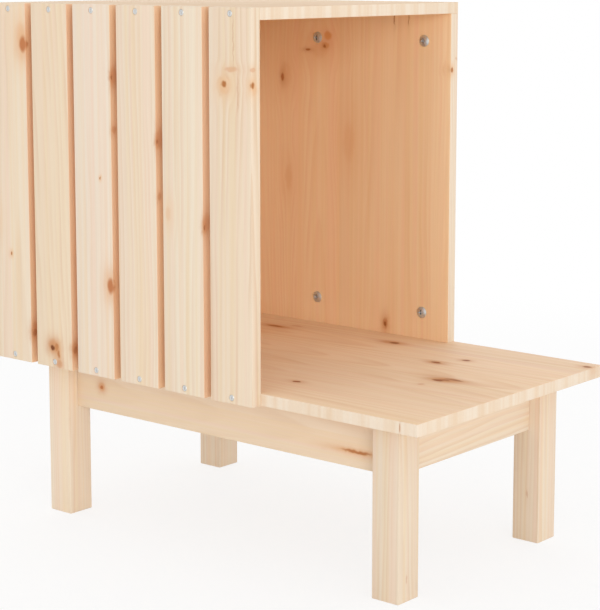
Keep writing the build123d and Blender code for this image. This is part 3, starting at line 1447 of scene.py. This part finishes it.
@dataclass
class SlatRow(SubAssembly):
    """The six upright slats on the near long side."""

    easing: float = 0.6 * MM
    front: float = -187.5

    def build(self) -> None:
        """Model each slat with its own grain and knots."""
        for number, wood in enumerate(SLAT_WOODS, start=1):
            finish = replace(
                self.tones.sapwood, early_wood=wood.early_wood, ring_share=wood.ring_share
            )
            # Painted shade: the flanks in the gaps and each slat's inner face take the rosier tone;
            # the last slat's open flank stands in full light and keeps the pale wood.
            flanks = ((-1, 0, 0),) if number == len(SLAT_WOODS) else ((-1, 0, 0), (1, 0, 0))
            marks = marks_on(Axis.Y, self.front, *wood.front_marks)
            marks += marks_on(Axis.X, wood.flank, *wood.flank_marks)
            WoodPiece(f"slat_{number}", wood.grain, self.easing, marks).build(
                self.fasteners, finish, self.tones.flank, (*flanks, (0, 1, 0))
            )


@dataclass
class Bench(SubAssembly):
    """The frame under the boards: legs, aprons and corner blocks."""

    easing: float = 0.8 * MM
    block_corner: float = 15.0 * MM

    def build(self) -> None:
        """Model the legs, the aprons between them and the blocks in the corners."""
        pine = self.tones.sapwood
        seed = 40.0
        leg_marks = {
            "leg_terrace_slatted": marks_on(Axis.X, 258.5, (Kind.LINE, -133, 24, 1.3, 6, 2)),
            "leg_terrace_walled": marks_on(Axis.Y, 113, (Kind.LINE, 243, 54, 1.3, 7, 2)),
        }
        for end in ("den", "terrace"):
            for side in ("slatted", "walled"):
                seed += 1
                node = f"leg_{end}_{side}"
                leg = Grain(Axis.Z, Axis.Y, pith_side=55.0, pith_depth=40.0, seed=seed)
                marks = leg_marks.get(node, ())
                WoodPiece(node, leg, self.easing, marks).build(self.fasteners, pine)
                self._block(f"corner_block_{end}_{side}", seed + 20)
        rosy = replace(pine, early_wood="#edd8c0", ring_share=0.30)
        long_marks = marks_on(
            Axis.Y,
            -133,
            (Kind.STAIN, -183.4, 157.5, 6, 6, 4),
            (Kind.RED_KNOT, -183.4, 156.7, 3, 3, 3),
            (Kind.SWIRL, 193, 145.4, 32, 4, 3),
            (Kind.RESIN, 193, 145.4, 24, 2.2, 3),
        )
        for side, marks in (("slatted", long_marks), ("walled", ())):
            seed += 1
            apron = Grain(Axis.X, Axis.Y, pith_depth=60.0, ring_spacing=6.0, seed=seed)
            piece = WoodPiece(f"apron_{side}_side", apron, self.easing, marks)
            piece.build(self.fasteners, rosy)
        for end in ("den", "terrace"):
            seed += 1
            apron = Grain(Axis.Y, Axis.X, pith_side=60.0, ring_spacing=5.0, seed=seed)
            WoodPiece(f"apron_{end}_end", apron, self.easing).build(self.fasteners, pine)

    def _block(self, node: str, seed: float) -> None:
        """Model a corner block: a block with its inner and outer corners sawn off.

        Args:
            node: The block's node.
            seed: What sets its grain apart.
        """
        low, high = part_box(node)
        piece = add_block(f"pine_{node}", low, high)
        towards = Vector((1 if high.x < 0 else -1, 1 if high.y < 0 else -1, 0))
        near = Vector((low.x if towards.x > 0 else high.x, low.y if towards.y > 0 else high.y, 0))
        bpy.ops.object.mode_set(mode="EDIT")
        for reach, keep_inner in ((high.x - low.x, False), (self.block_corner, True)):
            bpy.ops.mesh.select_all(action="SELECT")
            bpy.ops.mesh.bisect(
                plane_co=near + towards * reach / 2,
                plane_no=towards.normalized(),
                use_fill=True,
                clear_outer=not keep_inner,
                clear_inner=keep_inner,
            )
        bpy.ops.mesh.select_all(action="SELECT")
        bpy.ops.mesh.normals_make_consistent(inside=False)
        bpy.ops.object.mode_set(mode="OBJECT")
        round_edges(piece, self.easing, 3, lambda a, b: abs(a.z - b.z) > (high.z - low.z) / 2)
        self.fasteners.drill(piece, low, high)
        smooth_faces(piece)
        grain = Grain(Axis.X, Axis.Z, seed=seed)
        wood = self.tones.sapwood.material(f"sanded_pine_{node}", grain, low, high)
        hand_over(piece, node, wood)


# Studio


@dataclass(frozen=True)
class Sun:
    """A soft lamp far away: its strength, how wide it looks and where it stands, in degrees."""

    name: str
    strength: float
    width: float
    azimuth: float
    elevation: float

    def hang(self) -> None:
        """Add the lamp to the scene."""
        lamp = bpy.data.lights.new(self.name, "SUN")
        lamp.energy = self.strength
        lamp.angle = math.radians(self.width)
        sun = bpy.data.objects.new(self.name, lamp)
        bpy.context.scene.collection.objects.link(sun)
        sun.rotation_euler = (math.radians(90 - self.elevation), 0, math.radians(self.azimuth))


@dataclass
class Studio:
    """A plain white floor and world, a soft key and a weaker fill light, and the camera.

    The floor takes shadow_share of the shadow up to fade_start metres away and none from
    fade_end on.
    """

    floor_half_width: float = 60.0
    shadow_share: float = 0.22
    fade_start: float = 0.9
    fade_end: float = 1.6
    world_strength: float = 0.85
    key: Sun = Sun("soft_key", 1.13, 32.0, 56.0, 5.0)
    fill: Sun = Sun("soft_fill", 0.40, 40.0, 225.0, 10.0)
    camera_place: Point = (1.3150, -1.5606, 0.6410)
    camera_yaw: float = 40.0
    camera_pitch: float = 8.0
    camera_lens: float = 106.93
    camera_shift: float = -0.1378

    def build(self) -> None:
        """Make the world, the lights, the floor and the camera."""
        bpy.context.scene.view_settings.view_transform = "Standard"
        self._world()
        self.key.hang()
        self.fill.hang()
        self._floor()
        self._camera()

    @staticmethod
    def _seen(tree: Tree) -> Socket:
        """Tell the rays that show the background: from the camera, a mirror or glass.

        Args:
            tree: The node tree that takes the nodes.

        Returns:
            1 for those rays and 0 for the others.
        """
        rays = add_node(tree, "ShaderNodeLightPath").node.outputs
        others = (("MAXIMUM", rays[f"Is {kind} Ray"]) for kind in ("Glossy", "Transmission"))
        return compute(tree, rays["Is Camera Ray"], *others)

    def _world(self) -> None:
        """Make a world that looks white and lights softly."""
        world = bpy.data.worlds.new("white_studio")
        bpy.context.scene.world = world
        world.use_nodes = True
        tree = world.node_tree
        tree.nodes.clear()
        light, white = (
            add_node(tree, "ShaderNodeBackground", {0: linear(WHITE), 1: strength})
            for strength in (self.world_strength, 1.0)
        )
        mixed = add_node(tree, "ShaderNodeMixShader", {0: self._seen(tree), 1: light, 2: white})
        add_node(tree, "ShaderNodeOutputWorld", {0: mixed})

    def _floor(self) -> None:
        """Lay a floor that looks white and takes a light shadow near the object."""
        bpy.ops.object.select_all(action="DESELECT")
        bpy.ops.mesh.primitive_plane_add(size=2 * self.floor_half_width, location=(0, 0, 0))
        floor = bpy.context.active_object
        floor.name = "floor"
        material = empty_material("white_floor")
        tree = material.node_tree
        metres = add_node(tree, "ShaderNodeTexCoord", out=3)
        distance = add_node(tree, VECTOR, {0: metres}, out=1, operation="LENGTH")
        near = add_node(
            tree,
            "ShaderNodeMapRange",
            {0: distance, 1: self.fade_start, 2: self.fade_end, 3: self.shadow_share, 4: 0.0},
            **SMOOTH,
        )
        glow = add_node(tree, "ShaderNodeEmission", {0: linear(WHITE), 1: 1.0})
        lit = add_node(tree, "ShaderNodeBsdfDiffuse", {0: linear(WHITE)})
        shown = add_node(tree, "ShaderNodeMixShader", {0: near, 1: glow, 2: lit})
        mixed = add_node(tree, "ShaderNodeMixShader", {0: self._seen(tree), 1: lit, 2: shown})
        add_node(tree, "ShaderNodeOutputMaterial", {"Surface": mixed})
        floor.data.materials.append(material)

    def _camera(self) -> None:
        """Set the camera where the photograph's viewer stands."""
        lens = bpy.data.cameras.new("viewer")
        lens.lens = self.camera_lens
        lens.shift_y = self.camera_shift
        lens.clip_end = 4 * self.floor_half_width
        camera = bpy.data.objects.new("viewer", lens)
        bpy.context.scene.collection.objects.link(camera)
        camera.location = self.camera_place
        camera.rotation_euler = (
            math.radians(90 - self.camera_pitch), 0, math.radians(self.camera_yaw)
        )
        bpy.context.scene.camera = camera


def main() -> None:
    """Build each sub-assembly in turn, then the studio around it."""
    logging.basicConfig(level=logging.INFO, format="%(message)s")
    tones = WoodTones()
    fasteners = Fasteners()
    fasteners.find()
    Den(fasteners, tones).build()
    SlatRow(fasteners, tones).build()
    Bench(fasteners, tones).build()
    blue_zinc = ZincFinish(colour="#dfe9ef", cloud="#c6d2d9", roughness=0.46)
    fasteners.build(
        ZincFinish().material("zinc_plated_steel"),
        blue_zinc.material("blue_passivated_zinc_steel"),
    )
    low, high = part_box("apron_dowels")
    beech = PineFinish(early_wood="#e3c39c", late_wood="#d3ab80", rosy_line="#dcb48c")
    fasteners.dress_dowels(beech.material("turned_beech", Grain(Axis.Z, Axis.Y), low, high))
    Studio().build()


if __name__ == "__main__":
    main()
